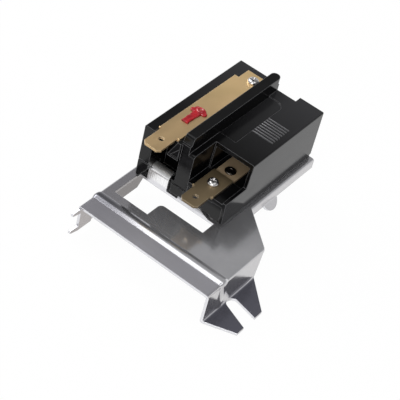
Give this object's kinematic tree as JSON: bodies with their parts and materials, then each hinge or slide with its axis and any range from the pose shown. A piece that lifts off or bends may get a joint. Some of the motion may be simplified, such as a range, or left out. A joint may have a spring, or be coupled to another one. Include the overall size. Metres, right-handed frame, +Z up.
{
  "type": "radiant flame sensor",
  "caption": "Heat-operated switch in a black moulded housing with two brass spade terminals, clamped to a bent aluminium mounting bracket with a forked foot.",
  "frame": {"origin": "centre of the round end of the bracket foot's slot, on the foot's underside", "axes": "+X to the right towards the foot's tips, +Y to the rear along the housing, +Z up, away from the foot's seat"},
  "size_m": [0.0605, 0.0779, 0.0356],
  "materials": {
    "mounting_bracket": "bright rolled aluminium sheet, lightly scuffed",
    "housing": "glossy black moulded thermoset",
    "base_plate": "dark insulating fibre sheet",
    "top_terminal": "dull rolled brass",
    "lower_terminal": "dark rolled brass",
    "contact_plate": "dark rolled brass",
    "top_terminal_screw": "bright zinc plate",
    "lower_terminal_screw": "bright zinc plate",
    "terminal_post": "machined brass",
    "post_nut": "machined brass",
    "terminal_insert": "machined brass",
    "hollow_rivet": "dark oxide",
    "blade_root_rivet": "dark oxide",
    "blade_root": "machined brass",
    "sensing_blade": "rolled bimetal",
    "moving_contact": "bright silver alloy",
    "fixed_contact": "bright silver alloy",
    "arm_root": "rolled brass",
    "compensating_arm": "rolled bimetal",
    "calibration_screw": "machined brass",
    "lacquer_seal": "glossy red sealing lacquer"
  },
  "bodies": {
    "switch_frame": {"mounting_bracket": "mounting_bracket", "housing": "housing", "base_plate": "base_plate", "top_terminal": "top_terminal", "lower_terminal": "lower_terminal", "contact_plate": "contact_plate", "top_terminal_screw": "top_terminal_screw", "lower_terminal_screw": "lower_terminal_screw", "terminal_post": "terminal_post", "post_nut": "post_nut", "terminal_insert": "terminal_insert", "hollow_rivet": "hollow_rivet", "blade_root_rivet": "blade_root_rivet", "blade_root": "blade_root", "arm_root": "arm_root", "calibration_screw": "calibration_screw", "lacquer_seal": "lacquer_seal"},
    "sensing_blade": {"sensing_blade": "sensing_blade", "moving_contact": "moving_contact"},
    "compensating_arm": {"compensating_arm": "compensating_arm", "fixed_contact": "fixed_contact"}
  },
  "joints": [
    {"name": "sensing_blade_flex", "type": "hinge", "parent": "switch_frame", "child": "sensing_blade", "pos_m": [-0.0271, 0.05126, 0.0173], "axis": [1, 0, 0], "range_deg": [0, 3.5], "stiffness_Nm_per_rad": 0.3},
    {"name": "compensating_arm_flex", "type": "hinge", "parent": "switch_frame", "child": "compensating_arm", "pos_m": [-0.04195, 0.05026, 0.02015], "axis": [1, 0, 0], "range_deg": [0, 0.7], "stiffness_Nm_per_rad": 0.3}
  ],
  "couplings": [
    {"joint": "compensating_arm_flex", "follows": "sensing_blade_flex", "ratio": 0.2}
  ]
}
